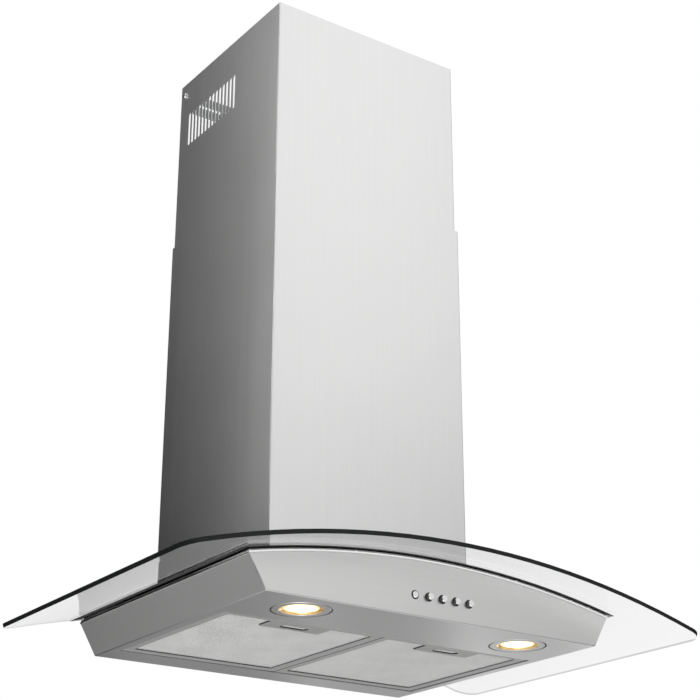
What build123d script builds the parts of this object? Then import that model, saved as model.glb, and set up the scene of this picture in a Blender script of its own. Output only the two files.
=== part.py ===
from build123d import *
from math import asin, cos, degrees, pi, radians, sin, sqrt
import os

# Wall-mounted chimney range hood with a curved glass canopy.
# Millimetres. X runs along the wall, -Y points into the room, +Z is up. Everything is drawn with the wall at
# y = 0 and the steel body's underside at z = 0, and is moved down at the end, so that the origin of the
# written parts is the middle of the two screw holes in the wall rail.

# Steel canopy body
sheet = 1.0
wall_gap = 10.0
body_front = -420.5
body_half_low = 240.3
body_half_top = 263.2
flare_height = 38.5
fold_radius = 1.2

# Curved glass: part of a cylinder whose axis runs along Y. Its ends are square to the glass.
arch_radius = 1258.0
glass_low_z = 72.8
glass_thick = 5.3
glass_half = 373.6
glass_front = -478.2
glass_front_corner = 20.0
glass_rear_corner = 28.0
border_thick = 0.5
gasket_thick = 2.0
hem_height = 4.1
hem_proud = 0.8
hem_round = 1.7

# Chimney covers
cover_sheet = 0.9
upper_half = 150.0
upper_front = -276.2
upper_rear = -1.3
upper_top = 877.0
upper_bottom = 472.0
lower_half = 152.1
lower_front = -280.6
lower_top = 606.6
rear_flange = 12.0
slot_count = 14
slot_width = 5.0
slot_low = 766.0
slot_high = 820.0
slot_first_y = -29.5
slot_pitch = 9.8
cover_screw_y = -12.8
cover_screw_z = 858.0

# Filter bay in the underside, and its two filters
bay_half = 228.0
bay_front = -310.5
bay_rear = -55.0
bay_flange = 5.0
filter_gap = 1.25
filter_low = 1.0
filter_high = 10.0
filter_border = 12.0
filter_dish = 0.6
mesh_low = 2.6
mesh_high = 9.2
latch_half = 42.0
latch_depth = 29.0
latch_travel = 4.5
finger_half = 19.0
finger_front = -286.5
finger_rear = -275.5

# Lamps
lamp_x = 160.0
lamp_y = -367.0
bezel_radius = 34.4
lamp_hole = 36.2
lens_radius = 25.6

# Push buttons
button_count = 5
button_pitch = 19.9
button_row_x = 1.7
button_z = 24.7
button_radius = 4.0
button_hole = 5.4
button_proud = 5.3
button_travel = 3.8
button_length = 12.0

# Blower and air box
box_half = 118.0
box_front = -250.0
box_rear = -24.0
box_top = 300.0
wheel_y = -165.0
wheel_z = 178.0
wheel_radius = 61.0
blade_inner = 48.0
blade_count = 32
wheel_half = 50.0
scroll_half = 57.0
scroll_wall = 2.0
scroll_radius = 72.0
scroll_step = 8.0
inlet_radius = 46.0
shaft_radius = 4.0
running_gap = 0.04
motor_radius = 36.0

# Duct adapter with its two damper flaps
duct_y = -121.0
duct_radius = 75.0
duct_wall = 1.5
duct_top = 350.0
pin_z = 330.0
pin_radius = 2.0

# Wall fixings
rail_half = 150.0
rail_low = 18.0
rail_high = 56.0
rail_hole_z = 30.0
rail_hole_x = 100.0
rail_hole_radius = 3.0
hook_x = 110.0
hook_half = 15.0
hook_top = 43.0
bracket_low = 840.0
bracket_high = 874.0
bracket_slot_x = 100.0
bracket_slot_z = 857.0
bracket_slot_length = 44.0
bracket_slot_radius = 2.5
lock_hole_x = 200.0
lock_hole_z = 20.0
lock_hole_radius = 3.0

body_rear = -wall_gap
arch_centre_z = glass_low_z - arch_radius
deck_drop = border_thick + gasket_thick
hem_drop = deck_drop + hem_height
far = 1000.0
sides = {"left": -1, "right": 1}


def block(x, y, z):
    """A box from three (low, high) pairs."""
    centre = [(low + high) / 2 for low, high in (x, y, z)]
    size = [high - low for low, high in (x, y, z)]
    return Pos(*centre) * Box(*size)


def rod(axis, radius, across, span):
    """A cylinder along X, Y or Z. across is its centre along the other two axes."""
    middle = (span[0] + span[1]) / 2
    solid = Cylinder(radius, span[1] - span[0])
    if axis == "X":
        return Pos(middle, across[0], across[1]) * Rot(0, 90, 0) * solid
    if axis == "Y":
        return Pos(across[0], middle, across[1]) * Rot(90, 0, 0) * solid
    return Pos(across[0], across[1], middle) * solid


def tube(axis, outer, inner, across, span):
    """A hollow cylinder."""
    return rod(axis, outer, across, span) - rod(axis, inner, across, (span[0] - 1, span[1] + 1))


def mirror_x(pair, side):
    """The x range (low, high) on the side given by its sign."""
    return tuple(sorted((side * pair[0], side * pair[1])))


def below_arch(drop, y=(-600.0, 100.0)):
    """All that lies below a surface that runs drop millimetres under the glass's lower face."""
    return rod("Y", arch_radius - drop, (0, arch_centre_z), y)


def arched_layer(top_drop, low_drop):
    """The space between two surfaces that run below the glass's lower face."""
    return below_arch(top_drop) - below_arch(low_drop)


def arch_height(x, drop=0.0):
    return arch_centre_z + sqrt((arch_radius - drop) ** 2 - x * x)


def frame_ring(outer_half, inner_half, outer_y, inner_y, z=(0.0, 120.0)):
    """A straight-sided picture frame, seen from above."""
    outer = block((-outer_half, outer_half), outer_y, z)
    return outer - block((-inner_half, inner_half), inner_y, (z[0] - 1, z[1] + 1))


def slot_prism(half_length, radius, along, centre, depth_axis, depth):
    """A slot with round ends: half_length is from its middle to the centre of an end."""
    limits = []
    for name, middle in zip("XYZ", centre):
        if name == depth_axis:
            limits.append(depth)
        else:
            reach = half_length if name == along else radius
            limits.append((middle - reach, middle + reach))
    solid = block(*limits)
    for sign in (-1, 1):
        end = [c + sign * half_length * (name == along) for name, c in zip("XYZ", centre)]
        across = [c for name, c in zip("XYZ", end) if name != depth_axis]
        solid += rod(depth_axis, radius, across, depth)
    return solid


# Canopy body -----------------------------------------------------------------


def body_prism(wall, floor):
    """The canopy's flared block, with its walls and floor moved in by the given amounts."""
    slope = (body_half_top - body_half_low) / flare_height
    across = wall * sqrt(1 + slope * slope)
    low = body_half_low + slope * floor - across
    top = body_half_top - across
    right = [(low, floor), (top, flare_height), (top, 100)]
    left = [(-x, z) for x, z in reversed(right)]
    outline = Polyline(*right, *left, close=True)
    profile = Plane.XZ * make_face(outline)
    depth = body_rear - body_front - 2 * wall
    return Pos(0, body_rear - wall, 0) * extrude(profile, depth)


def air_opening(margin):
    """The hole for the air box through the layers between body and glass."""
    return block((-box_half - margin, box_half + margin), (box_front - margin, box_rear + margin), (0, 120))


def canopy_shell():
    """Folded sheet body: front, sides, back and underside, with the filter bay let into the underside."""
    outer = body_prism(0, 0)
    folds = [e for e in outer.edges() if e.center().Z < flare_height and e.center().Y < body_rear - 1]
    outer = fillet(folds, fold_radius)
    shell = (outer - body_prism(sheet, sheet)) & below_arch(hem_drop)
    bay_y = (bay_front, bay_rear)
    rim_y = (bay_front - sheet, bay_rear + sheet)
    rim = frame_ring(bay_half + sheet, bay_half, rim_y, bay_y, (sheet, sheet + bay_flange))
    shell = shell - block((-bay_half, bay_half), bay_y, (-2, 3)) + rim
    for side in sides.values():
        shell -= rod("Z", lamp_hole, (side * lamp_x, lamp_y), (-2, 3))
        window = (side * hook_x - hook_half - 2, side * hook_x + hook_half + 2)
        shell -= block(window, (body_rear - 3, body_rear + 1), (hook_top - 13, hook_top))
        shell -= rod("Y", lock_hole_radius, (side * lock_hole_x, lock_hole_z), (body_rear - 3, body_rear + 1))
    for i in range(button_count):
        shell -= rod("Y", button_hole, (button_x(i), button_z), (body_front - 1, body_front + 3))
    return shell


def top_deck():
    """Arched cover plate of the steel body, with a rolled hem round its edge."""
    half = body_half_top + hem_proud
    y = (body_front - hem_proud, body_rear)
    hem = block((-half, half), y, (0, 120)) & arched_layer(deck_drop, hem_drop)
    front_edges = [e for e in hem.edges() if e.center().Y < y[0] + 0.1 and abs(e.center().X) < half - 1]
    side_edges = [e for e in hem.edges().filter_by(Axis.Y) if abs(e.center().X) > half - 1]
    hem = fillet(front_edges + side_edges, hem_round)
    hem -= block((2.4 - half, half - 2.4), (y[0] + 2.4, y[1] - 2.4), (0, 120))
    plate = block((1 - half, half - 1), (y[0] + 1, y[1] - 1), (0, 120))
    plate &= arched_layer(deck_drop, deck_drop + 1)
    return hem + plate - air_opening(1.5)


def wall_rail():
    """Steel rail screwed to the wall, with two hooks that the canopy's back hangs on."""
    rail = block((-rail_half, rail_half), (-2, 0), (rail_low, rail_high))
    for side in sides.values():
        x = (side * hook_x - hook_half, side * hook_x + hook_half)
        rail += block(x, (body_rear - sheet - 3, -1), (hook_top - 3, hook_top))
        rail += block(x, (body_rear - sheet - 3, body_rear - sheet - 1), (hook_top - 3, hook_top + 9))
        rail -= rod("Y", rail_hole_radius, (side * rail_hole_x, rail_hole_z), (-4, 1))
    return rail


def wall_pads():
    """Two rubber pads that hold the canopy's lower edge off the wall."""
    return [rod("Y", 8, (side * 170, 15), (body_rear, 0)) for side in sides.values()]


# Glass -----------------------------------------------------------------------


def glass_canopy():
    """Bent glass with rounded corners and a hole for the air box."""
    outline = block((-300, 300), (glass_front, 0), (0, 120))
    tilt = degrees(asin(glass_half / (arch_radius + glass_thick)))
    for side in sides.values():
        end = block(mirror_x((-140, 0), side), (glass_front, 0), (arch_radius - 60, arch_radius + 60))
        corners = end.edges().filter_by(Axis.Z).filter_by(lambda e: abs(e.center().X) < 1).sort_by(Axis.Y)
        end = fillet(corners[-1], glass_rear_corner)
        corners = end.edges().filter_by(Axis.Z).filter_by(lambda e: abs(e.center().X) < 1).sort_by(Axis.Y)
        end = fillet(corners[0], glass_front_corner)
        outline += Pos(0, 0, arch_centre_z) * Rot(0, side * tilt, 0) * end
    blank = outline & arched_layer(-glass_thick, 0)
    return blank - fillet(air_opening(6).edges().filter_by(Axis.Z), 8)


def glass_border():
    """Thin black border on the glass's lower face, which hides the gasket."""
    ring = frame_ring(273.5, 232, (body_front - 2, 0), (-388, -42)) - air_opening(6)
    return ring & arched_layer(0, border_thick)


def glass_gasket():
    ring = frame_ring(body_half_top - 3, body_half_top - 23, (body_front + 3, body_rear - 3), (-397, -33))
    return (ring - air_opening(6)) & arched_layer(border_thick, deck_drop)


def clamp_gasket():
    ring = frame_ring(141, box_half + 2, (-267, -7), (box_front - 2, box_rear + 2))
    return ring & arched_layer(-glass_thick - 1, -glass_thick)


def clamp_frame():
    """Steel frame that presses the glass down, with a collar round the air box."""
    inner_y = (box_front, box_rear)
    ring = frame_ring(143, box_half, (-269, -5), inner_y)
    ring &= arched_layer(-glass_thick - 3, -glass_thick - 1)
    collar_y = (box_front - 1.5, box_rear + 1.5)
    collar = frame_ring(box_half + 1.5, box_half, collar_y, inner_y, (60, 100))
    collar -= below_arch(-glass_thick - 1)
    return ring + collar


# Chimney covers --------------------------------------------------------------


def cover_shell(half, front, rear, z):
    """Three-sided sheet cover with an inward flange along each rear edge."""
    outer = block((-half, half), (front, rear), z)
    hollow = block((-half + cover_sheet, half - cover_sheet), (front + cover_sheet, rear - cover_sheet), z)
    back = block((-half + rear_flange, half - rear_flange), (rear - 2, rear + 1), z)
    corners = [e for e in outer.edges().filter_by(Axis.Z) if e.center().Y < rear - 1]
    return fillet(corners, fold_radius) - hollow - back


def lower_chimney_cover():
    cover = cover_shell(lower_half, lower_front, 0, (40, lower_top))
    return cover - below_arch(-glass_thick - 0.6)


def upper_chimney_cover():
    """Sliding cover, with a louvre of upright slots in each side."""
    cover = cover_shell(upper_half, upper_front, upper_rear, (upper_bottom, upper_top))
    reach = (slot_high - slot_low) / 2 - slot_width / 2
    middle = (slot_low + slot_high) / 2
    for side in sides.values():
        x = mirror_x((upper_half - 3, upper_half + 3), side)
        for i in range(slot_count):
            y = slot_first_y - i * slot_pitch
            cover -= slot_prism(reach, slot_width / 2, "Z", (0, y, middle), "X", x)
        cover -= rod("X", 2.3, (cover_screw_y, cover_screw_z), x)
    return cover


def chimney_screws():
    """Pan-head screws that fix the upper cover to the wall bracket, one on each side."""
    screws = []
    for side in sides.values():
        head = rod("X", 4.2, (cover_screw_y, cover_screw_z), mirror_x((upper_half, upper_half + 2.6), side))
        outer_rim = head.edges().filter_by(GeomType.CIRCLE).sort_by(Axis.X)
        head = fillet(outer_rim[-1] if side > 0 else outer_rim[0], 1.4)
        recess = mirror_x((upper_half + 1.4, upper_half + 3), side)
        y, z = cover_screw_y, cover_screw_z
        head -= block(recess, (y - 2.2, y + 2.2), (z - 0.5, z + 0.5))
        head -= block(recess, (y - 0.5, y + 0.5), (z - 2.2, z + 2.2))
        shank = rod("X", 1.9, (y, z), mirror_x((upper_half - 8, upper_half), side))
        screws.append(head + shank)
    return screws


def wall_bracket():
    """Upper wall bracket: slotted plate whose ends step forward and fold along the cover's sides."""
    z = (bracket_low, bracket_high)
    plate = block((-134, 134), (-1.1, 0), z)
    for side in sides.values():
        plate += block(mirror_x((132.9, 134), side), (-4.6, 0), z)
        plate += block(mirror_x((132.9, 148.8), side), (-4.6, -3.5), z)
        plate += block(mirror_x((147.6, 148.8), side), (-22, -3.5), z)
        notch_x = mirror_x((146, 150), side)
        plate -= block(notch_x, (cover_screw_y - 2.3, cover_screw_y + 2.3), (800, cover_screw_z))
        plate -= rod("X", 2.3, (cover_screw_y, cover_screw_z), notch_x)
        reach = bracket_slot_length / 2 - bracket_slot_radius
        centre = (side * bracket_slot_x, 0, bracket_slot_z)
        plate -= slot_prism(reach, bracket_slot_radius, "X", centre, "Y", (-3, 1))
    return plate


def cover_feet():
    """Two angles that join the lower cover's sides to the clamp frame."""
    feet = []
    y = (-160, -120)
    for side in sides.values():
        leg = block(mirror_x((124, 151.1), side), y, (60, 90))
        leg &= arched_layer(-glass_thick - 4.5, -glass_thick - 3)
        upright = block(mirror_x((149.6, 151.1), side), y, (60, 104)) - below_arch(-glass_thick - 3)
        feet.append(leg + upright)
    return feet


def inner_screws():
    """Small screws of one kind: collar to air box, and cover feet to clamp frame."""
    screws = []
    for side in sides.values():
        for y in (-220, -137, -54):
            head = rod("X", 3.2, (y, 92), mirror_x((box_half + 1.5, box_half + 3.7), side))
            screws.append(head)
        for y in (-152, -128):
            screws.append(rod("Z", 3.2, (side * 134, y), (74, 78)) - below_arch(-glass_thick - 4.5))
    return screws


# Air box, blower and motor ---------------------------------------------------


def scroll_face(margin, top):
    """Snail-shaped outline of the blower casing: quarter arcs of growing radius and a straight outlet."""
    half_step = scroll_step / 2
    centres = [(-half_step, -half_step), (half_step, -half_step), (half_step, half_step)]
    radii = [scroll_radius + scroll_step * k + margin for k in range(3)]
    left = centres[0][0] - margin
    start = (left, centres[0][1] + sqrt(radii[0] ** 2 - margin**2))
    right = centres[2][0] + radii[2]
    pieces = []
    point = start
    for k, (centre, radius) in enumerate(zip(centres, radii)):
        middle_angle = radians(135 + 90 * k)
        end_angle = radians(180 + 90 * k)
        middle = (centre[0] + radius * cos(middle_angle), centre[1] + radius * sin(middle_angle))
        end = (centre[0] + radius * cos(end_angle), centre[1] + radius * sin(end_angle))
        pieces.append(ThreePointArc(point, middle, end))
        point = end
    height = top - wheel_z
    pieces.append(Polyline(point, (right, height), (left, height), start))
    return make_face(Curve() + pieces)


def scroll_prism(margin, x):
    """The scroll outline as a solid over the x range, on the wheel's axis."""
    upright = Plane(origin=(0, wheel_y, wheel_z), x_dir=(0, 1, 0), z_dir=(1, 0, 0))
    face = upright * scroll_face(margin, box_top - 1)
    return Pos(x[0], 0, 0) * extrude(face, x[1] - x[0])


def scroll_casing(side):
    """One moulded half of the blower casing, with a bell-mouthed inlet."""
    outer = scroll_prism(scroll_wall, mirror_x((0, scroll_half + scroll_wall), side))
    hollow = scroll_prism(0, mirror_x((-1, scroll_half), side) if side > 0 else (-scroll_half, 1))
    hub = (wheel_y, wheel_z)
    wall_x = mirror_x((scroll_half - 1, scroll_half + 8), side)
    mouth = rod("X", inlet_radius + 5, hub, mirror_x((scroll_half + 1, scroll_half + 5), side))
    return outer - hollow + mouth - rod("X", inlet_radius, hub, wall_x)


def blower_wheel():
    """Double-inlet squirrel-cage wheel: hub disc, slanted blades and two end rings."""
    hub = (wheel_y, wheel_z)
    wheel = rod("X", wheel_radius, hub, (-1, 1)) + rod("X", 9, hub, (-12, 6))
    for side in sides.values():
        wheel += tube("X", wheel_radius, blade_inner, hub, mirror_x((wheel_half - 3, wheel_half), side))
    middle = (wheel_radius + blade_inner) / 2
    blades = Sketch()
    for i in range(blade_count):
        turn = Rot(0, 0, 360 * i / blade_count)
        blades += turn * Pos(middle, 0) * Rot(0, 0, 28) * Rectangle(20, 1.2)
    blades &= Circle(wheel_radius - 0.5) - Circle(blade_inner + 0.5)
    flat = Plane(origin=(1 - wheel_half, *hub), x_dir=(0, 1, 0), z_dir=(1, 0, 0))
    wheel += extrude(flat * blades, 2 * wheel_half - 2)
    return wheel - rod("X", shaft_radius, hub, (-60, 60))


def motor_housing():
    hub = (wheel_y, wheel_z)
    body = rod("X", motor_radius, hub, (10, 62)) - rod("X", motor_radius - 3, hub, (12, 60))
    return body - rod("X", shaft_radius + 0.5, hub, (9, 13))


def motor_bearings():
    """Two ball bearings, each drawn as one ring, in the motor's end caps."""
    hub = (wheel_y, wheel_z)
    return [tube("X", 9, shaft_radius + running_gap, hub, span) for span in ((12, 17), (55, 60))]


def motor_bracket():
    """Three-armed spider that holds the motor in one inlet."""
    hub = (wheel_y, wheel_z)
    x = (scroll_half + 5, scroll_half + 7.5)
    spider = rod("X", 22, hub, x)
    arm = Pos((x[0] + x[1]) / 2, 0, 0) * Box(x[1] - x[0], 12, 40)
    for i in range(3):
        spider += Pos(0, *hub) * Rot(120 * i, 0, 0) * Pos(0, 0, 30.9) * arm
    return spider


def air_box():
    """Steel box over the body that holds the blower. Its flared foot sits under the deck."""
    inner_y = (box_front + sheet, box_rear - sheet)
    tall = frame_ring(box_half, box_half - sheet, (box_front, box_rear), inner_y, (40, box_top))
    tall -= below_arch(deck_drop + 2)
    lid = block((-box_half, box_half), (box_front, box_rear), (box_top - sheet, box_top))
    outlet_y = (wheel_y - scroll_step / 2, wheel_y + scroll_step / 2 + scroll_radius + 2 * scroll_step)
    lid -= block((-scroll_half, scroll_half), outlet_y, (box_top - 3, box_top + 1))
    foot = frame_ring(box_half + 16, box_half - sheet, (box_front - 16, box_rear + 10), inner_y)
    foot = foot & arched_layer(deck_drop + 1, deck_drop + 2)
    return tall + lid + foot


def duct_adapter():
    """Outlet collar for a round duct, on a square base, with a ledge that the closed flaps rest on."""
    base = block((-86, 86), (duct_y - 86, duct_y + 86), (box_top, box_top + 3))
    base = fillet(base.edges().filter_by(Axis.Z), 8)
    hub = (0, duct_y)
    spigot = rod("Z", duct_radius, hub, (box_top + 2, duct_top))
    bore = rod("Z", duct_radius - duct_wall, hub, (box_top - 1, duct_top + 1))
    ledge = tube("Z", duct_radius - 1, duct_radius - 5, hub, (pin_z - 4, pin_z - 1.1))
    gap = block((-duct_radius, duct_radius), (duct_y - 5, duct_y + 5), (pin_z - 5, pin_z))
    return base + spigot - bore + (ledge - gap) - damper_pin()


def damper_flap(side):
    """Half-round flap with hinge knuckles. side is -1 for the front flap and 1 for the rear one."""
    plate = rod("Z", duct_radius - duct_wall - 1.2, (0, duct_y), (pin_z - 0.75, pin_z + 0.75))
    y = tuple(sorted((duct_y + side * 5, duct_y + side * 100)))
    plate = plate & block((-far, far), y, (0, far))
    spans = [(-58, -22), (22, 58)] if side < 0 else [(-18, 18)]
    for span in spans:
        knuckle = rod("X", 3.8, (duct_y, pin_z), span)
        web_y = tuple(sorted((duct_y, duct_y + side * 6)))
        plate += knuckle + block(span, web_y, (pin_z - 0.75, pin_z + 0.75))
    return plate - rod("X", pin_radius + running_gap, (duct_y, pin_z), (-80, 80))


def damper_pin():
    return rod("X", pin_radius, (duct_y, pin_z), (0.3 - duct_radius, duct_radius - 0.3))


# Electrical parts ------------------------------------------------------------


def terminal_box():
    y = (-170, -90)
    z = (210, 270)
    room = block((box_half + 2, 146), (y[0] + 2, y[1] - 2), (z[0] + 2, z[1] - 2))
    box = block((box_half, 144.5), y, z) - room
    return box - rod("Z", 7, (132, -130), (z[1] - 3, z[1] + 1))


def terminal_lid():
    lid = block((144.5, 146.5), (-170, -90), (210, 270))
    return fillet(lid.edges().filter_by(Axis.X), 3)


def supply_gland():
    """Gland for the supply cable: threaded stem through the box's wall, nut and rounded dome."""
    hub = (132, -130)
    body = rod("Z", 7, hub, (262, 272)) + rod("Z", 9.5, hub, (270, 278))
    body += Pos(hub[0], hub[1], 263) * extrude(RegularPolygon(9.5, 6), 5)
    dome = Pos(hub[0], hub[1], 278) * Cone(8.5, 6.5, 10, align=(Align.CENTER, Align.CENTER, Align.MIN))
    return body + dome - rod("Z", 4.2, hub, (255, 300))


def capacitor():
    """Motor capacitor: a can with two flat terminals."""
    x = -box_half - 13
    can = rod("Z", 13, (x, -137), (200, 252))
    for offset in (-5, 5):
        can += block((x + offset - 0.4, x + offset + 0.4), (-140, -134), (252, 260))
    return can


def lamp_driver():
    case = block((-100, -30), (-385, -338), (sheet, 24))
    return fillet(case.edges().filter_by(Axis.Z), 3)


def button_x(i):
    return button_row_x + (i - (button_count - 1) / 2) * button_pitch


def switch_housing():
    """Black block behind the front panel, with a bore for each button and a square hole for its stem."""
    half = (button_count - 1) / 2 * button_pitch + 12
    x = (button_row_x - half, button_row_x + half)
    front = body_front + sheet
    housing = block(x, (front, front + 23.5), (button_z - 11, button_z + 11))
    for i in range(button_count):
        housing -= rod("Y", button_radius + 0.4, (button_x(i), button_z), (front - 1, front + 14))
        stem = (button_x(i) - 2.3, button_x(i) + 2.3)
        housing -= block(stem, (front + 12, front + 30), (button_z - 2.3, button_z + 2.3))
    return housing


def push_button(i):
    """Round metal button on a square stem. The first one is latched in."""
    pushed = button_travel if i == 0 else 0
    tip = body_front - button_proud + pushed
    cap = rod("Y", button_radius, (button_x(i), button_z), (tip, tip + button_length))
    cap = chamfer(cap.edges().filter_by(GeomType.CIRCLE).sort_by(Axis.Y)[0], 0.4)
    stem_y = (tip + button_length - 1, tip + button_length + 15.8)
    return cap + block((button_x(i) - 2, button_x(i) + 2), stem_y, (button_z - 2, button_z + 2))


# Lamps -----------------------------------------------------------------------


def lamp_bezel(side):
    """Flush ring round the lens."""
    ring = tube("Z", bezel_radius, lens_radius + 0.2, (side * lamp_x, lamp_y), (0, sheet))
    rims = ring.edges().filter_by(GeomType.CIRCLE).group_by(Axis.Z)[0]
    return chamfer(rims, 0.35)


def lamp_lens(side):
    hub = (side * lamp_x, lamp_y)
    return rod("Z", lens_radius, hub, (0.3, 2.4)) + rod("Z", lens_radius + 0.8, hub, (sheet, 2.4))


def lamp_housing(side):
    """Pressed cup with a flange that sits on the underside's sheet."""
    hub = (side * lamp_x, lamp_y)
    flange = tube("Z", 40, lens_radius + 0.9, hub, (sheet, sheet + 1))
    cup = rod("Z", 33, hub, (sheet + 1, 27)) - rod("Z", 32, hub, (sheet, 26))
    return flange + (cup & rod("Z", 40, hub, (sheet + 1, 40)))


def lamp_bulb(side):
    """Reflector lamp: dished reflector, glass capsule and ceramic base in one piece."""
    hub = Pos(side * lamp_x, lamp_y, 0)
    outer = hub * Pos(0, 0, 3) * Cone(25, 9, 15, align=(Align.CENTER, Align.CENTER, Align.MIN))
    inner = hub * Pos(0, 0, 2.9) * Cone(24.2, 8.2, 14.4, align=(Align.CENTER, Align.CENTER, Align.MIN))
    base = hub * Pos(0, 0, 17) * Cylinder(9, 9, align=(Align.CENTER, Align.CENTER, Align.MIN))
    capsule = hub * Pos(0, 0, 8) * Cylinder(4.5, 10, align=(Align.CENTER, Align.CENTER, Align.MIN))
    return outer - inner + base + capsule


# Filters ---------------------------------------------------------------------

filter_width = bay_half - filter_gap - 0.75
filter_depth = bay_rear - bay_front - 2 * filter_gap
filter_y = (bay_front + filter_gap, bay_rear - filter_gap)
filter_mid_y = (bay_front + bay_rear) / 2
mesh_front = filter_y[0] + filter_border


def filter_x(side):
    """The middle of one filter."""
    return side * (0.75 + filter_width / 2)


def filter_frame(side):
    """Rim of one filter, dished towards the mesh, with two rear tabs and a slot for the latch tongue."""
    middle = (filter_x(side), filter_mid_y)
    z = (filter_low, filter_high)
    rim = Pos(*middle, sum(z) / 2) * Box(filter_width, filter_depth, z[1] - z[0])
    rim = fillet(rim.edges().filter_by(Axis.Z), 2.5)
    open_size = (filter_width - 2 * filter_border, filter_depth - 2 * filter_border)
    rim -= Pos(*middle, 5) * Box(*open_size, 30)
    wide = Pos(*middle, filter_low) * Rectangle(filter_width - 5, filter_depth - 5)
    narrow = Pos(*middle, filter_low + filter_dish) * Rectangle(*open_size)
    rim -= loft([wide, narrow])
    for offset in (-70, 70):
        x = middle[0] + offset
        rim += block((x - 10, x + 10), (filter_y[1] - 1, filter_y[1] + 6), (7.5, 9))
    return rim - block((middle[0] - 7.4, middle[0] + 7.4), (filter_y[0] - 1, mesh_front + 1), (4.9, 7.1))


def filter_mesh(side):
    """Pack of expanded mesh, with a pocket for the latch."""
    middle = (filter_x(side), filter_mid_y)
    size = (filter_width - 2 * filter_border, filter_depth - 2 * filter_border)
    pack = Pos(*middle, (mesh_low + mesh_high) / 2) * Box(*size, mesh_high - mesh_low)
    pocket = (middle[0] - latch_half, middle[0] + latch_half)
    return pack - block(pocket, (mesh_front - 1, mesh_front + latch_depth), (0, 20))


def latch_case(side):
    """Flat case for the latch, with the finger slot in its face."""
    x = filter_x(side)
    y = (mesh_front, mesh_front + latch_depth)
    case = block((x - latch_half, x + latch_half), y, (1.8, 8.8))
    case = fillet(case.edges().filter_by(Axis.Z).sort_by(Axis.Y)[-2:], 2.5)
    case -= block((x - latch_half + 2, x + latch_half - 2), (y[0] - 1, y[1] - 2), (4.2, 7.8))
    finger_mid = (finger_front + finger_rear) / 2
    radius = (finger_rear - finger_front) / 2
    return case - slot_prism(finger_half - radius, radius, "X", (x, finger_mid, 0), "Z", (1, 5))


def latch_slider(side):
    """Sprung slider: body with a finger hole, a lip to pull on and the tongue that holds the filter."""
    x = filter_x(side)
    front = mesh_front + 0.75
    body = block((x - 24, x + 24), (front, mesh_front + 18.2), (4.5, 7.5))
    body -= block((x - 17, x + 17), (finger_front - 0.5, finger_front + 5), (4, 6.9))
    lip = block((x - 13, x + 13), (finger_front + 5, finger_front + 6.2), (2.2, 5))
    tongue = block((x - 7, x + 7), (bay_front + 0.4, front + 1), (5.2, 6.8))
    return body + lip + tongue


def latch_spring(side):
    """Coil spring behind the slider."""
    turns = 5
    start = mesh_front + 18.2
    length = mesh_front + latch_depth - 2 - start
    wire = 0.35
    path = Helix(pitch=(length - 2 * wire) / turns, height=length - 2 * wire, radius=1.2)
    section = Plane(origin=path @ 0, z_dir=path % 0) * Circle(wire)
    coil = sweep(section, path, is_frenet=True)
    return Pos(filter_x(side), start + wire, 6) * Rot(-90, 0, 0) * coil


# Writing the parts -----------------------------------------------------------


def save(name, shape):
    solids = shape if isinstance(shape, list) else [shape]
    moved = [Pos(0, 0, -rail_hole_z) * solid for solid in solids]
    export_step(moved[0] if len(moved) == 1 else Compound(children=moved), f"parts/{name}.step")


def main():
    os.makedirs("parts", exist_ok=True)
    hub = (wheel_y, wheel_z)
    single = {
        "canopy_shell": canopy_shell,
        "top_deck": top_deck,
        "wall_rail": wall_rail,
        "wall_pads": wall_pads,
        "glass_canopy": glass_canopy,
        "glass_border": glass_border,
        "glass_gasket": glass_gasket,
        "clamp_gasket": clamp_gasket,
        "clamp_frame": clamp_frame,
        "lower_chimney_cover": lower_chimney_cover,
        "upper_chimney_cover": upper_chimney_cover,
        "chimney_screws": chimney_screws,
        "wall_bracket": wall_bracket,
        "cover_feet": cover_feet,
        "inner_screws": inner_screws,
        "air_box": air_box,
        "blower_wheel": blower_wheel,
        "motor_housing": motor_housing,
        "motor_bearings": motor_bearings,
        "motor_bracket": motor_bracket,
        "duct_adapter": duct_adapter,
        "damper_pin": damper_pin,
        "terminal_box": terminal_box,
        "terminal_lid": terminal_lid,
        "supply_gland": supply_gland,
        "capacitor": capacitor,
        "lamp_driver": lamp_driver,
        "switch_housing": switch_housing,
    }
    for name, make in single.items():
        save(name, make())
    save("motor_shaft", rod("X", shaft_radius, hub, (-16, 59.5)))
    save("motor_stator", tube("X", motor_radius - 3, 21, hub, (19, 51)))
    save("motor_rotor", tube("X", 20, shaft_radius, hub, (20, 50)))
    save("damper_flap_front", damper_flap(-1))
    save("damper_flap_rear", damper_flap(1))
    for i in range(button_count):
        save(f"button_{i + 1}", push_button(i))
    paired = {
        "scroll_casing": scroll_casing,
        "lamp_bezel": lamp_bezel,
        "lamp_lens": lamp_lens,
        "lamp_housing": lamp_housing,
        "lamp_bulb": lamp_bulb,
        "filter_frame": filter_frame,
        "filter_mesh": filter_mesh,
        "latch_case": latch_case,
        "latch_slider": latch_slider,
        "latch_spring": latch_spring,
    }
    for name, make in paired.items():
        for side, sign in sides.items():
            save(f"{name}_{side}", make(sign))


main()
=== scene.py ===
import bpy
import math
from mathutils import Matrix, Vector

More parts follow.
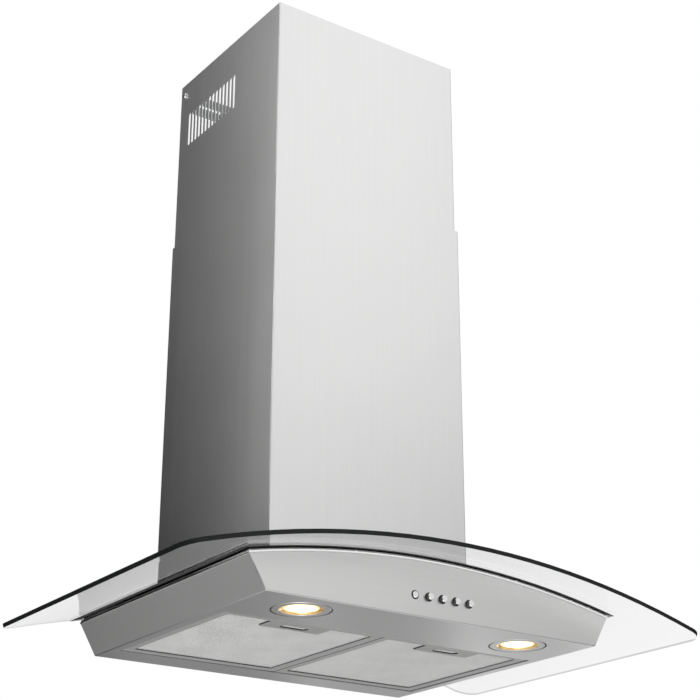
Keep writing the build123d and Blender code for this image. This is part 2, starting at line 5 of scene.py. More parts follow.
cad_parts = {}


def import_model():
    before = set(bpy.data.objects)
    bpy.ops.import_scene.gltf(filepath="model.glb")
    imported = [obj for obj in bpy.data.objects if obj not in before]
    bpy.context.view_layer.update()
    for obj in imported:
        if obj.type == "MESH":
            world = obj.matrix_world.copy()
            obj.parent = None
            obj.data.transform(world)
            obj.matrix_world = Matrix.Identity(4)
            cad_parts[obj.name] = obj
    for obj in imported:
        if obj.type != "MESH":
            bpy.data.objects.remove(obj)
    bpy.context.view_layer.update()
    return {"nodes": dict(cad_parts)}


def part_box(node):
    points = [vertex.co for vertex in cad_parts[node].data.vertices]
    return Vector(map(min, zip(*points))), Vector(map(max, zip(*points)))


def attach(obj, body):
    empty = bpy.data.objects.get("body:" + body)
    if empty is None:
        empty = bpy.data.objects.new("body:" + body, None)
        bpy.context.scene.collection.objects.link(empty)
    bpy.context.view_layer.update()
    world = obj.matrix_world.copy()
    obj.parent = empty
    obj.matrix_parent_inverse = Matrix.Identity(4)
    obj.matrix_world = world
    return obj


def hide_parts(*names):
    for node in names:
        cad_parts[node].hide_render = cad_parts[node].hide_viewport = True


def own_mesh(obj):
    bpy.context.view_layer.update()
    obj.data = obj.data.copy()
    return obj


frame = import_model()
nodes = frame["nodes"]


# Node helpers --------------------------------------------------------------

def new_material(name):
    mat = bpy.data.materials.new(name)
    mat.use_nodes = True
    return mat, mat.node_tree, mat.node_tree.nodes["Principled BSDF"]


def stretched(tree, scale, coord="Object"):
    """Object coordinates in metres, scaled differently along each axis."""
    where = tree.nodes.new("ShaderNodeTexCoord")
    mapping = tree.nodes.new("ShaderNodeMapping")
    mapping.inputs["Scale"].default_value = scale
    tree.links.new(where.outputs[coord], mapping.inputs["Vector"])
    return mapping.outputs["Vector"]


def noise(tree, scale, detail=3.0, rough=0.55):
    tex = tree.nodes.new("ShaderNodeTexNoise")
    tex.inputs["Scale"].default_value = 1.0
    tex.inputs["Detail"].default_value = detail
    tex.inputs["Roughness"].default_value = rough
    tree.links.new(stretched(tree, scale), tex.inputs["Vector"])
    return tex.outputs["Fac"]


def remap(tree, value, low, high, span=(0.3, 0.7)):
    node = tree.nodes.new("ShaderNodeMapRange")
    node.inputs["From Min"].default_value = span[0]
    node.inputs["From Max"].default_value = span[1]
    node.inputs["To Min"].default_value = low
    node.inputs["To Max"].default_value = high
    tree.links.new(value, node.inputs["Value"])
    return node.outputs["Result"]


def tinted(tree, value, dark, light, span=(0.3, 0.7)):
    """A colour between dark and light, as value goes over its span."""
    node = tree.nodes.new("ShaderNodeMix")
    node.data_type = "RGBA"
    node.inputs[6].default_value = (*dark, 1)
    node.inputs[7].default_value = (*light, 1)
    tree.links.new(remap(tree, value, 0, 1, span), node.inputs["Factor"])
    return node.outputs[2]


def bump(tree, shader, height, distance, strength=1.0):
    node = tree.nodes.new("ShaderNodeBump")
    node.inputs["Distance"].default_value = distance
    node.inputs["Strength"].default_value = strength
    tree.links.new(height, node.inputs["Height"])
    tree.links.new(node.outputs["Normal"], shader.inputs["Normal"])
    return node


def combine(tree, a, b, how="ADD"):
    node = tree.nodes.new("ShaderNodeMath")
    node.operation = how
    for i, value in enumerate((a, b)):
        if isinstance(value, float):
            node.inputs[i].default_value = value
        else:
            tree.links.new(value, node.inputs[i])
    return node.outputs[0]


# Materials -----------------------------------------------------------------

def brushed(name, grain, dark, light, rough, depth=0.000012, metallic=1.0):
    """Brushed sheet: grain is how fast the streaks change along X, Y and Z, per metre."""
    mat, tree, shader = new_material(name)
    streak = noise(tree, grain, 4.0, 0.6)
    wide = noise(tree, [g * 0.12 for g in grain], 2.0)
    cloud = noise(tree, (7, 7, 7), 3.0)
    mixed = combine(tree, combine(tree, streak, wide), 0.5, "MULTIPLY")
    tree.links.new(tinted(tree, mixed, dark, light), shader.inputs["Base Color"])
    worn = combine(tree, remap(tree, mixed, rough[0], rough[1]), remap(tree, cloud, -0.006, 0.006))
    tree.links.new(worn, shader.inputs["Roughness"])
    shader.inputs["Metallic"].default_value = metallic
    bump(tree, shader, streak, depth)
    return mat


def cast(name, dark, light, rough, scale=400, depth=0.00003, metallic=0.0, specks=0.0):
    """Moulded, cast or plated surface with a fine grain and faint blotches."""
    mat, tree, shader = new_material(name)
    fine = noise(tree, (scale,) * 3, 4.0)
    cloud = noise(tree, (25,) * 3, 3.0)
    tree.links.new(tinted(tree, cloud, dark, light), shader.inputs["Base Color"])
    tree.links.new(remap(tree, fine, rough[0], rough[1]), shader.inputs["Roughness"])
    shader.inputs["Metallic"].default_value = metallic
    bump(tree, shader, fine, depth)
    return mat


def spangled(name, dark, light):
    """Zinc-coated sheet with crystals a few millimetres across."""
    mat, tree, shader = new_material(name)
    cells = tree.nodes.new("ShaderNodeTexVoronoi")
    cells.inputs["Scale"].default_value = 1.0
    tree.links.new(stretched(tree, (140, 140, 140)), cells.inputs["Vector"])
    tone = tree.nodes.new("ShaderNodeSeparateColor")
    tree.links.new(cells.outputs["Color"], tone.inputs["Color"])
    fine = noise(tree, (600, 600, 600), 3.0)
    tree.links.new(tinted(tree, tone.outputs[0], dark, light, (0, 1)), shader.inputs["Base Color"])
    tree.links.new(remap(tree, tone.outputs[1], 0.34, 0.52, (0, 1)), shader.inputs["Roughness"])
    shader.inputs["Metallic"].default_value = 1.0
    bump(tree, shader, fine, 0.00002)
    return mat


def clear_glass(name, tint, absorbed, density, edge):
    """Clear plate; its upright edges are painted dark as the shade they show from outside, and carry a
    painted pale glow seen from inside.
    """
    mat, tree, shader = new_material(name)
    where = tree.nodes.new("ShaderNodeTexCoord")
    parts = tree.nodes.new("ShaderNodeSeparateXYZ")
    tree.links.new(where.outputs["Normal"], parts.inputs["Vector"])
    level = tree.nodes.new("ShaderNodeMath")
    level.operation = "ABSOLUTE"
    tree.links.new(parts.outputs["Z"], level.inputs[0])
    side = tree.nodes.new("ShaderNodeNewGeometry").outputs["Backfacing"]
    upright = combine(tree, 1.0, remap(tree, level.outputs[0], 0, 1, (0.55, 0.75)), "SUBTRACT")
    outside = combine(tree, upright, combine(tree, 1.0, side, "SUBTRACT"), "MULTIPLY")
    inside = combine(tree, upright, side, "MULTIPLY")
    # Painted light: upright edges seen from inside glow pale, though the glass is no lamp.
    shader.inputs["Emission Color"].default_value = (1, 1, 1, 1)
    tree.links.new(combine(tree, inside, 0.62, "MULTIPLY"), shader.inputs["Emission Strength"])
    # Painted shade: upright edges are coloured near-black, as they look from outside.
    painted_edge_dark = tinted(tree, noise(tree, (500, 500, 500), 3.0), [c * 0.8 for c in edge], edge)
    mix = tree.nodes.new("ShaderNodeMix")
    mix.data_type = "RGBA"
    mix.inputs[6].default_value = (*tint, 1)
    tree.links.new(upright, mix.inputs["Factor"])
    tree.links.new(painted_edge_dark, mix.inputs[7])
    tree.links.new(mix.outputs[2], shader.inputs["Base Color"])
    tree.links.new(combine(tree, 1.0, upright, "SUBTRACT"), shader.inputs["Transmission Weight"])
    shader.inputs["IOR"].default_value = 1.2
    smear = remap(tree, noise(tree, (9, 9, 9), 4.0), 0.0, 0.004, (0.45, 0.75))
    tree.links.new(combine(tree, smear, combine(tree, outside, 0.3, "MULTIPLY")), shader.inputs["Roughness"])
    volume = tree.nodes.new("ShaderNodeVolumeAbsorption")
    volume.inputs["Color"].default_value = (*absorbed, 1)
    volume.inputs["Density"].default_value = density
    tree.links.new(volume.outputs["Volume"], tree.nodes["Material Output"].inputs["Volume"])
    return mat


def lit_lens(name, radius):
    """Frosted lens, white-hot in the middle and golden at its rim, centred on its own origin."""
    mat, tree, shader = new_material(name)
    where = tree.nodes.new("ShaderNodeTexCoord")
    flat = tree.nodes.new("ShaderNodeVectorMath")
    flat.operation = "MULTIPLY"
    flat.inputs[1].default_value = (1, 1, 0)
    tree.links.new(where.outputs["Object"], flat.inputs[0])
    away = tree.nodes.new("ShaderNodeVectorMath")
    away.operation = "LENGTH"
    tree.links.new(flat.outputs[0], away.inputs[0])
    ripple = noise(tree, (260, 260, 260), 2.0)
    reach = combine(tree, away.outputs["Value"], remap(tree, ripple, -0.0012, 0.0012))
    ramp = tree.nodes.new("ShaderNodeValToRGB")
    stops = ramp.color_ramp.elements
    stops[0].position = 0.0
    stops[0].color = (1.0, 0.97, 0.88, 1)
    stops[1].position = 1.0
    stops[1].color = (0.46, 0.26, 0.07, 1)
    warm = ((0.66, (1.0, 0.93, 0.74)), (0.84, (1.0, 0.78, 0.42)), (0.95, (0.70, 0.44, 0.17)))
    for where_to, colour in warm:
        stop = stops.new(where_to)
        stop.color = (*colour, 1)
    tree.links.new(remap(tree, reach, 0, 1, (0, radius)), ramp.inputs["Fac"])
    tree.links.new(ramp.outputs["Color"], shader.inputs["Base Color"])
    tree.links.new(ramp.outputs["Color"], shader.inputs["Emission Color"])
    shader.inputs["Emission Strength"].default_value = 1.6
    tree.links.new(remap(tree, noise(tree, (900, 900, 900)), 0.2, 0.45), shader.inputs["Roughness"])
    return mat


def lamp_lit_ring(name, glow):
    """Gold-lit reflector ring around a lens; its gold colour and glow are painted lamp light."""
    mat, tree, shader = new_material(name)
    facet = noise(tree, (180, 180, 60), 2.0)
    colour = tinted(tree, facet, (0.42, 0.26, 0.09), (0.80, 0.56, 0.26))
    tree.links.new(colour, shader.inputs["Base Color"])
    tree.links.new(colour, shader.inputs["Emission Color"])
    shader.inputs["Emission Strength"].default_value = glow
    shader.inputs["Metallic"].default_value = 0.9
    tree.links.new(remap(tree, facet, 0.14, 0.3), shader.inputs["Roughness"])
    bump(tree, shader, facet, 0.0002)
    return mat


def lit_and_shaded_steel(name, front, side, face_rough, side_rough, share):
    """Front colour over the front share of the piece's length along Y, side colour behind it: painted light
    and shade on one steel part.
    """
    mat, tree, shader = new_material(name)
    where = tree.nodes.new("ShaderNodeTexCoord")
    parts = tree.nodes.new("ShaderNodeSeparateXYZ")
    tree.links.new(where.outputs["Generated"], parts.inputs["Vector"])
    behind = remap(tree, parts.outputs["Y"], 0, 1, (share - 0.003, share + 0.003))
    fine = noise(tree, (2600, 160, 2600), 3.0)
    mix = tree.nodes.new("ShaderNodeMix")
    mix.data_type = "RGBA"
    tree.links.new(behind, mix.inputs["Factor"])
    tree.links.new(tinted(tree, fine, [c * 0.93 for c in front], front), mix.inputs[6])
    tree.links.new(tinted(tree, fine, [c * 0.8 for c in side], side), mix.inputs[7])
    tree.links.new(mix.outputs[2], shader.inputs["Base Color"])
    grain = remap(tree, fine, -0.04, 0.04)
    level = remap(tree, behind, face_rough, side_rough, (0, 1))
    tree.links.new(combine(tree, level, grain), shader.inputs["Roughness"])
    tree.links.new(combine(tree, 1.0, behind, "SUBTRACT"), shader.inputs["Metallic"])
    bump(tree, shader, fine, 0.000004)
    return mat


def rim_sheet(name, dark, light, wall):
    """Satin folded sheet whose upright walls are painted dark as the shade of the gap beside them."""
    mat, tree, shader = new_material(name)
    streak = noise(tree, (900, 60, 900), 4.0)
    cloud = noise(tree, (30, 30, 30), 3.0)
    where = tree.nodes.new("ShaderNodeTexCoord")
    parts = tree.nodes.new("ShaderNodeSeparateXYZ")
    tree.links.new(where.outputs["Normal"], parts.inputs["Vector"])
    level = tree.nodes.new("ShaderNodeMath")
    level.operation = "ABSOLUTE"
    tree.links.new(parts.outputs["Z"], level.inputs[0])
    # Painted shade: faces that stand upright take the dark wall colour.
    mix = tree.nodes.new("ShaderNodeMix")
    mix.data_type = "RGBA"
    tree.links.new(remap(tree, level.outputs[0], 0, 1, (0.45, 0.55)), mix.inputs["Factor"])
    tree.links.new(tinted(tree, cloud, [c * 0.7 for c in wall], wall), mix.inputs[6])
    tree.links.new(tinted(tree, streak, dark, light), mix.inputs[7])
    tree.links.new(mix.outputs[2], shader.inputs["Base Color"])
    tree.links.new(remap(tree, streak, 0.4, 0.5), shader.inputs["Roughness"])
    shader.inputs["Metallic"].default_value = 0.4
    bump(tree, shader, streak, 0.000006)
    return mat


chimney_steel = brushed("chimney_steel", (3600, 3600, 16), (0.70, 0.70, 0.70),
                        (0.75, 0.75, 0.745), (0.28, 0.33), 0.000001)
body_steel = brushed("body_steel", (16, 3000, 3000), (0.70, 0.70, 0.695),
                     (0.735, 0.735, 0.73), (0.30, 0.34), 0.000001)
# Painted highlight: a brighter copy of the body steel for the rolled hem.
hem_steel_highlight = brushed("hem_steel_highlight", (16, 3000, 3000), (0.90, 0.90, 0.895),
                    (0.95, 0.95, 0.945), (0.20, 0.26), 0.000001)
bezel_steel = brushed("bezel_steel", (900, 900, 900), (0.62, 0.61, 0.60),
                      (0.74, 0.73, 0.72), (0.25, 0.38), 0.000004)
zinc = spangled("zinc_sheet", (0.38, 0.40, 0.42), (0.56, 0.58, 0.60))
# Painted shade: a darker copy of the zinc for the bracket inside the chimney cover.
shaded_zinc = spangled("dull_zinc_sheet", (0.16, 0.165, 0.17), (0.24, 0.25, 0.255))
# Painted shade: the lamp housings are coloured black so the gap around each bezel reads as shade.
shade_black_steel = cast("shade_black_steel", (0.010, 0.010, 0.010), (0.020, 0.020, 0.020), (0.4, 0.6), 900, 0.00001)
rubber = cast("black_rubber", (0.010, 0.010, 0.010), (0.022, 0.022, 0.022), (0.45, 0.65))
enamel = cast("black_enamel", (0.006, 0.006, 0.006), (0.012, 0.012, 0.013), (0.12, 0.22), 900, 0.000004)
black_plastic = cast("black_plastic", (0.018, 0.018, 0.019), (0.035, 0.035, 0.036),
                     (0.38, 0.58), 1500, 0.00003)
white_plastic = cast("white_plastic", (0.66, 0.65, 0.61), (0.78, 0.77, 0.73), (0.35, 0.5), 1200, 0.00002)
plated = cast("zinc_plating", (0.55, 0.55, 0.54), (0.72, 0.72, 0.70), (0.16, 0.3), 900, 0.00001, 1.0)
motor_paint = cast("motor_paint", (0.36, 0.37, 0.38), (0.48, 0.49, 0.50), (0.32, 0.5), 700, 0.00003, 0.8)
iron = brushed("laminations", (2600, 20, 20), (0.10, 0.095, 0.09), (0.24, 0.235, 0.23), (0.4, 0.6), 0.00006)
# Filter frame: its upright walls carry painted shade.
frame_aluminium = rim_sheet("frame_aluminium", (0.36, 0.36, 0.355), (0.41, 0.41, 0.405),
                            (0.035, 0.035, 0.035))
# Latch case: its upright side walls carry painted shade.
latch_face = rim_sheet("latch_face", (0.33, 0.33, 0.325), (0.37, 0.37, 0.365), (0.012, 0.012, 0.012))
strand_aluminium = cast("strand_aluminium", (0.88, 0.88, 0.875), (0.94, 0.94, 0.935),
                        (0.4, 0.55), 1200, 0.00001, 0.3)
# Painted shade: the deeper mesh layers, coloured darker than the strands for the shade between them.
shaded_mesh_core = cast("shaded_mesh_core", (0.36, 0.36, 0.355), (0.42, 0.42, 0.415), (0.4, 0.55), 900, 0.00005, 0.3)
# Button: bright face, with painted shade on its sides.
button_steel = lit_and_shaded_steel("button_steel", (0.96, 0.96, 0.955), (0.09, 0.09, 0.09), 0.3, 0.42, 0.014)
# Latch slider: painted shade over its front, in the slot, and a painted highlight on its rear lip.
latch_steel = lit_and_shaded_steel("latch_steel", (0.012, 0.012, 0.012), (0.80, 0.80, 0.79), 0.6, 0.35, 0.917)
reflector = cast("reflector", (0.82, 0.80, 0.74), (0.92, 0.90, 0.84), (0.06, 0.14), 500, 0.00003, 1.0)
glass = clear_glass("canopy_glass", (0.99, 0.99, 0.99), (0.05, 0.08, 0.07), 4.0, (0.020, 0.022, 0.022))

dress = {
    chimney_steel: ["lower_chimney_cover", "upper_chimney_cover"],
    body_steel: ["canopy_shell", "top_deck"],
    bezel_steel: ["lamp_bezel_left", "lamp_bezel_right"],
    zinc: ["wall_rail", "clamp_frame", "cover_feet", "air_box", "motor_bracket"],
    shaded_zinc: ["wall_bracket"],
    rubber: ["wall_pads", "glass_gasket", "clamp_gasket"],
    enamel: ["glass_border"],
    shade_black_steel: ["lamp_housing_left", "lamp_housing_right"],
    black_plastic: ["blower_wheel", "scroll_casing_left", "scroll_casing_right", "duct_adapter",
                    "damper_flap_front", "damper_flap_rear", "switch_housing", "terminal_box", "terminal_lid",
                    "supply_gland"],
    white_plastic: ["lamp_driver", "capacitor"],
    plated: ["chimney_screws", "inner_screws", "damper_pin", "motor_shaft", "motor_bearings",
             "latch_spring_left", "latch_spring_right"],
    motor_paint: ["motor_housing"],
    iron: ["motor_stator", "motor_rotor"],
    frame_aluminium: ["filter_frame_left", "filter_frame_right"],
    latch_face: ["latch_case_left", "latch_case_right"],
    latch_steel: ["latch_slider_left", "latch_slider_right"],
    button_steel: [f"button_{i}" for i in range(1, 6)],
    reflector: ["lamp_bulb_left", "lamp_bulb_right"],
    glass: ["glass_canopy"],
}


def assign(obj, mat):
    if not obj.material_slots:
        obj.data.materials.append(mat)
    for place in obj.material_slots:
        place.material = mat


for mat, names in dress.items():
    for name in names:
        assign(nodes[name], mat)


# Broken edges --------------------------------------------------------------

def arris(name, width, segments=2):
    """Small round on the sharp edges of one CAD piece."""
    joined = nodes[name].modifiers.new("joined", "WELD")
    joined.merge_threshold = 0.000005
    soft = nodes[name].modifiers.new("arris", "BEVEL")
    soft.width = width
    soft.segments = segments
    soft.limit_method = "ANGLE"
    soft.angle_limit = math.radians(35)
    soft.harden_normals = True


arris("lower_chimney_cover", 0.0004)
arris("canopy_shell", 0.0005)


# Expanded mesh of the filters ----------------------------------------------

def expanded_mesh(name, low, high, pitch, strand, thick, lip):
    """One sheet of diamond mesh: zigzag strands that meet at their bends, with the far edges turned down."""
    verts, faces = [], []
    rows = round((high[1] - low[1]) / pitch[1] * 2)
    half = (high[1] - low[1]) / rows
    columns = round((high[0] - low[0]) / pitch[0] * 2)
    for row in range(rows):
        y = low[1] + half * (row + 0.5)
        first = len(verts)
        for column in range(columns + 1):
            x = low[0] + (high[0] - low[0]) * column / columns
            up = 1 if (column + row) % 2 else -1
            bend = y + up * (half - strand) / 2
            edge = x > high[0] - pitch[0] * 0.4 or bend > high[1] - strand
            z = high[2] - thick / 2 - (lip if edge else 0)
            for dy, dz in ((-0.5, -0.5), (0.5, -0.5), (0.5, 0.5), (-0.5, 0.5)):
                verts.append((x, bend + dy * strand, z + dz * thick + dy * 0.0003))
        for column in range(columns):
            a = first + column * 4
            b = a + 4
            for k in range(4):
                faces.append((a + k, b + k, b + (k + 1) % 4, a + (k + 1) % 4))
        last = first + columns * 4
        faces.append((first, first + 1, first + 2, first + 3))
        faces.append((last + 3, last + 2, last + 1, last))
    mesh = bpy.data.meshes.new(name)
    mesh.from_pydata(verts, [], faces)
    mesh.update()
    return mesh


def slab(name, low, high):
    """A plain block between two corners."""
    xs, ys, zs = zip(low, high)
    verts = [(x, y, z) for z in zs for y in ys for x in xs]
    faces = [(0, 2, 3, 1), (4, 5, 7, 6), (0, 1, 5, 4), (2, 6, 7, 3), (0, 4, 6, 2), (1, 3, 7, 5)]
    mesh = bpy.data.meshes.new(name)
    mesh.from_pydata(verts, [], faces)
    mesh.update()
    return mesh


def place(name, mesh, body, mat, slot, stands_for=()):
    obj = bpy.data.objects.new(name, mesh)
    bpy.context.scene.collection.objects.link(obj)
    assign(obj, mat)
    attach(obj, body)
    if stands_for:
        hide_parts(*stands_for)
    return obj


for side in ("left", "right"):
    low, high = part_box(f"filter_mesh_{side}")
    sheet_top = (high[0], high[1], low[2] + 0.0013)
    mesh = expanded_mesh(f"mesh_{side}", low, sheet_top, (0.0042, 0.0036), 0.00105, 0.0006, 0.0007)
    place(f"filter_mesh_{side}_face", mesh, f"filter_{side}", strand_aluminium, "mesh_aluminium",
          (f"filter_mesh_{side}",))
    inner = slab(f"shaded_mesh_core_{side}", (low[0], low[1], low[2] + 0.0022), high)
    place(f"filter_mesh_{side}_core", inner, f"filter_{side}", shaded_mesh_core, "mesh_aluminium")


# Latch springs, which the sliders press together ---------------------------

for side in ("left", "right"):
    low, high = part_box(f"latch_spring_{side}")
    mesh = nodes[f"latch_spring_{side}"].data.copy()
    spring = place(f"latch_spring_{side}_coil", mesh, f"filter_{side}", plated, "screw_steel",
                   (f"latch_spring_{side}",))
    spring.matrix_world = nodes[f"latch_spring_{side}"].matrix_world.copy()
    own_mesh(spring)


# Top deck with its rolled hem ----------------------------------------------

def plan_loops(name, loops, across=200, along=8):
    """A closed shell through nested rectangles seen from above, each (half width, front, rear, z at x)."""
    verts, faces = [], []
    for half, front, rear, height in loops:
        row = [(-half + 2 * half * k / across, front) for k in range(across)]
        row += [(half, front + (rear - front) * k / along) for k in range(along)]
        row += [(half - 2 * half * k / across, rear) for k in range(across)]
        row += [(-half, rear - (rear - front) * k / along) for k in range(along)]
        verts += [(x, y, height(x)) for x, y in row]
    size = 2 * (across + along)
    for k in range(len(loops)):
        here, beyond = k * size, (k + 1) % len(loops) * size
        for i in range(size):
            j = (i + 1) % size
            faces.append((here + i, beyond + i, beyond + j, here + j))
    mesh = bpy.data.meshes.new(name)
    mesh.from_pydata(verts, [], faces)
    mesh.update()
    corners = {0, across, across + along, 2 * across + along}
    for edge in mesh.edges:
        a, b = edge.vertices
        edge.use_edge_sharp = a % size == b % size and a % size in corners
    for face in mesh.polygons:
        face.use_smooth = True
    return mesh


def arch(radius, centre_z):
    return lambda x: centre_z + math.sqrt(radius * radius - x * x)


deck_low, deck_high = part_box("top_deck")
glass_radius = 1.258
border_thick = 0.0005
gasket_thick = 0.002
deck_thick = 0.001
hem_tall = 0.0041
hem_wide = 0.0024
deck_radius = glass_radius - 0.0025
deck_centre = deck_high[2] - deck_radius
hem_steps = 14
deck_steps = 12
turns = [math.pi / 2 * k / hem_steps for k in range(hem_steps, -1, -1)]
section = [(hem_wide * (1 - math.cos(t)), hem_tall * (1 - math.sin(t))) for t in turns]
section.append((hem_wide, hem_tall))
hem_loops = [(deck_high[0] - u, deck_low[1] + u, deck_high[1] - u, arch(deck_radius - v, deck_centre))
             for u, v in section]
place("top_deck_hem", plan_loops("hem", hem_loops), "hood", hem_steel_highlight, "brushed_steel", ("top_deck",))
plate_inset = 0.001
outside = (deck_high[0] - plate_inset, deck_low[1] + plate_inset, deck_high[1] - plate_inset)
air_hole = (0.1195, -0.2515, -0.0225)
plate_loops = []
for drop, order in ((0, range(deck_steps, -1, -1)), (deck_thick, range(deck_steps + 1))):
    for k in order:
        size = [a + (b - a) * k / deck_steps for a, b in zip(outside, air_hole)]
        plate_loops.append((*size, arch(deck_radius - drop, deck_centre)))
place("top_deck_plate", plan_loops("deck_plate", plate_loops), "hood", body_steel, "brushed_steel")


def arched_frame(name, outer, inner, drop, thick, steps=4):
    """A layer under the glass, between two rectangles seen from above."""
    loops = []
    for depth, order in ((drop, range(steps, -1, -1)), (drop + thick, range(steps + 1))):
        for k in order:
            size = [a + (b - a) * k / steps for a, b in zip(outer, inner)]
            loops.append((*size, arch(glass_radius - depth, deck_centre)))
    return plan_loops(name, loops)


low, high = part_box("glass_border")
border_hole = (0.232, -0.388, -0.042)
border = arched_frame("border", (high[0], low[1], high[1]), border_hole, 0, border_thick)
made = place("glass_border_face", border, "hood", enamel, "black_rubber", ("glass_border",))
made.visible_glossy = False
low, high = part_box("glass_gasket")
gasket_hole = (0.2402, -0.397, -0.033)
gasket = arched_frame("gasket", (high[0], low[1], high[1]), gasket_hole, border_thick, gasket_thick)
place("glass_gasket_face", gasket, "hood", rubber, "black_rubber", ("glass_gasket",))


# Lamp lenses ---------------------------------------------------------------

def turned(name, profile, steps=96):
    """A ring or disc turned about its own Z axis from (radius, height) pairs."""
    verts, faces, rings = [], [], []
    for radius, height in profile:
        if radius == 0:
            rings.append([len(verts)] * steps)
            verts.append((0, 0, height))
            continue
        rings.append([len(verts) + k for k in range(steps)])
        for k in range(steps):
            turn = 2 * math.pi * k / steps
            verts.append((radius * math.cos(turn), radius * math.sin(turn), height))
    for ring, beyond in zip(rings, rings[1:]):
        for k in range(steps):
            corners = (ring[k], ring[(k + 1) % steps], beyond[(k + 1) % steps], beyond[k])
            faces.append(tuple(dict.fromkeys(corners)))
    mesh = bpy.data.meshes.new(name)
    mesh.from_pydata(verts, [], faces)
    mesh.update()
    for face in mesh.polygons:
        face.use_smooth = True
    return mesh


# Painted light: the ring glows gold with lamp light it does not give off itself.
lens_ring_glow = lamp_lit_ring("lens_ring_glow", 0.38)
for side in ("left", "right"):
    low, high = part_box(f"lamp_lens_{side}")
    middle = ((low[0] + high[0]) / 2, (low[1] + high[1]) / 2, 0)
    radius = (high[0] - low[0]) / 2
    inner = radius - 0.0052
    ring = turned(f"lens_ring_{side}", [
        (radius, high[2]), (radius, low[2] + 0.0003), (radius - 0.0004, low[2]), (radius - 0.0009, low[2]),
        (radius - 0.0011, low[2] + 0.0002), (inner, high[2] - 0.0004), (inner, high[2]), (radius, high[2])])
    dome = [(inner * math.sin(0.5 * k / 12) / math.sin(0.5),
             high[2] - 0.0003 - 0.0012 * (math.cos(0.5 * k / 12) - math.cos(0.5)) / (1 - math.cos(0.5)))
            for k in range(13)]
    disc = turned(f"lens_dome_{side}", [(0, high[2])] + [(inner, high[2])] + dome[::-1])
    made = place(f"lamp_lens_{side}_ring", ring, "hood", lens_ring_glow, "lamp_glass", (f"lamp_lens_{side}",))
    made.location = middle
    made = place(f"lamp_lens_{side}_dome", disc, "hood", lit_lens(f"lens_{side}", inner), "lamp_glass")
    made.location = middle


# Stage ---------------------------------------------------------------------

def camera():
    azimuth, elevation, roll = 0.6068, 0.3965, 0.002521
    ahead = Vector((math.sin(azimuth) * math.cos(elevation), math.cos(azimuth) * math.cos(elevation),
                    math.sin(elevation)))
    right = ahead.cross(Vector((0, 0, 1))).normalized()
    up = right.cross(ahead)
    across = math.cos(roll) * right + math.sin(roll) * up
    above = -math.sin(roll) * right + math.cos(roll) * up
    data = bpy.data.cameras.new("camera")
    data.sensor_width = 36
    data.lens = 84.14
    data.clip_start, data.clip_end = 0.05, 50
    obj = bpy.data.objects.new("camera", data)
    turn = Matrix((across, above, -ahead)).transposed().to_4x4()
    obj.matrix_world = Matrix.Translation((-1.1569, -1.8990, -0.4747)) @ turn
    bpy.context.scene.collection.objects.link(obj)
    bpy.context.scene.camera = obj


def softbox(name, where, target, size, radiance):
    """Rectangular light of the given radiance, unseen by the camera and through glass."""
    data = bpy.data.lights.new(name, "AREA")
    data.shape = "RECTANGLE"
    data.size, data.size_y = size
    data.energy = radiance * math.pi * size[0] * size[1]
    obj = bpy.data.objects.new(name, data)
    obj.location = where
    obj.rotation_euler = (Vector(target) - Vector(where)).to_track_quat("-Z", "Y").to_euler()
    bpy.context.scene.collection.objects.link(obj)
    obj.visible_camera = False
    obj.visible_transmission = False
    return obj


def floor():
    mesh = bpy.data.meshes.new("floor")
    half, z = 6.0, -1.6
    corners = [(-half, -half, z), (half, -half, z), (half, half, z), (-half, half, z)]
    mesh.from_pydata(corners, [], [(0, 1, 2, 3)])
    obj = bpy.data.objects.new("floor", mesh)
    bpy.context.scene.collection.objects.link(obj)
    mat, tree, shader = new_material("floor_paper")
    grain = noise(tree, (40, 40, 40), 5.0)
    tree.links.new(tinted(tree, grain, (0.80, 0.80, 0.80), (0.86, 0.86, 0.86)), shader.inputs["Base Color"])
    tree.links.new(remap(tree, grain, 0.6, 0.8), shader.inputs["Roughness"])
    bump(tree, shader, grain, 0.0005)
    assign(obj, mat)
    obj.visible_glossy = False


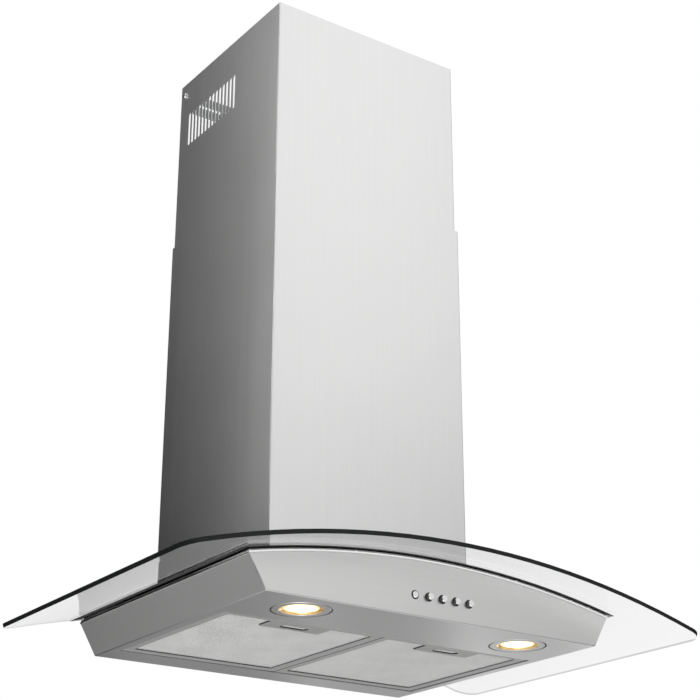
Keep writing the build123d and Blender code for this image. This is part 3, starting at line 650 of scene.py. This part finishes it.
def world():
    """White behind the object, and soft lobes of light above, below and in front for what it reflects."""
    scene_world = bpy.data.worlds.new("studio")
    bpy.context.scene.world = scene_world
    scene_world.use_nodes = True
    tree = scene_world.node_tree
    tree.nodes.clear()
    out = tree.nodes.new("ShaderNodeOutputWorld")
    path = tree.nodes.new("ShaderNodeLightPath")
    white = tree.nodes.new("ShaderNodeBackground")
    white.inputs["Color"].default_value = (1, 1, 1, 1)
    soft = tree.nodes.new("ShaderNodeBackground")
    where = tree.nodes.new("ShaderNodeTexCoord")
    total = 0.0
    lobes = (
        ((0, 0, 1), 0.2, 0.9, 0.232),
        ((0, 0, 1), 0.7, 0.95, 1.2),
        ((0, 0, -1), 0.2, 0.9, 1.268),
        ((0.0854, -0.8542, 0.5125), 0.5, 0.95, 1.233),
        ((0.4035, 0.9063, 0.125), 0.966, 0.995, 0.95),
    )
    for towards, low, high, strength in lobes:
        facing = tree.nodes.new("ShaderNodeVectorMath")
        facing.operation = "DOT_PRODUCT"
        facing.inputs[1].default_value = towards
        tree.links.new(where.outputs["Generated"], facing.inputs[0])
        lobe = tree.nodes.new("ShaderNodeMapRange")
        lobe.interpolation_type = "SMOOTHSTEP"
        for name, value in (("From Min", low), ("From Max", high), ("To Min", 0.0), ("To Max", strength)):
            lobe.inputs[name].default_value = value
        tree.links.new(facing.outputs["Value"], lobe.inputs["Value"])
        total = combine(tree, lobe.outputs["Result"], total)
    tree.links.new(total, soft.inputs["Strength"])
    direct = tree.nodes.new("ShaderNodeMath")
    direct.operation = "MAXIMUM"
    tree.links.new(path.outputs["Is Camera Ray"], direct.inputs[0])
    tree.links.new(path.outputs["Is Transmission Ray"], direct.inputs[1])
    mix = tree.nodes.new("ShaderNodeMixShader")
    tree.links.new(direct.outputs[0], mix.inputs["Fac"])
    tree.links.new(soft.outputs[0], mix.inputs[1])
    tree.links.new(white.outputs[0], mix.inputs[2])
    tree.links.new(mix.outputs[0], out.inputs["Surface"])


camera()
floor()
world()
softbox("key_mid", (1.65, -2.44, 1.57), (0, -0.25, 0.35), (0.95, 0.85), 0.239)
softbox("key_high", (1.38, -2.09, 2.28), (0, -0.25, 0.35), (0.95, 0.85), 0.22)
softbox("side_near", (-0.80, 0.10, 0.85), (0.20, 0.10, 0.85), (0.35, 1.30), 3.31)
softbox("side_far", (-0.80, 0.45, 0.85), (0.20, 0.45, 0.85), (0.35, 1.30), 0.398)
softbox("low_left_1", (-1.205, 1.675, -0.643), (-0.25, -0.20, 0.0), (0.90, 0.60), 0.231)
softbox("low_left_2", (-1.532, 1.082, -0.845), (-0.25, -0.20, 0.0), (0.90, 0.60), 0.247)
softbox("under", (-0.65, -0.95, -1.25), (0.0, -0.20, 0.0), (1.0, 1.0), 3.2)
for i, (x, radiance) in enumerate(((0.7, 0.18), (1.2, 0.36), (1.7, 0.64), (2.3, 2.9))):
    softbox(f"back_{i}", (x, 1.30, -0.48), (x - 0.6, 0.30, -0.20), (0.50, 0.70), radiance)
bpy.context.scene.view_settings.view_transform = "Standard"
bpy.context.scene.view_settings.look = "None"
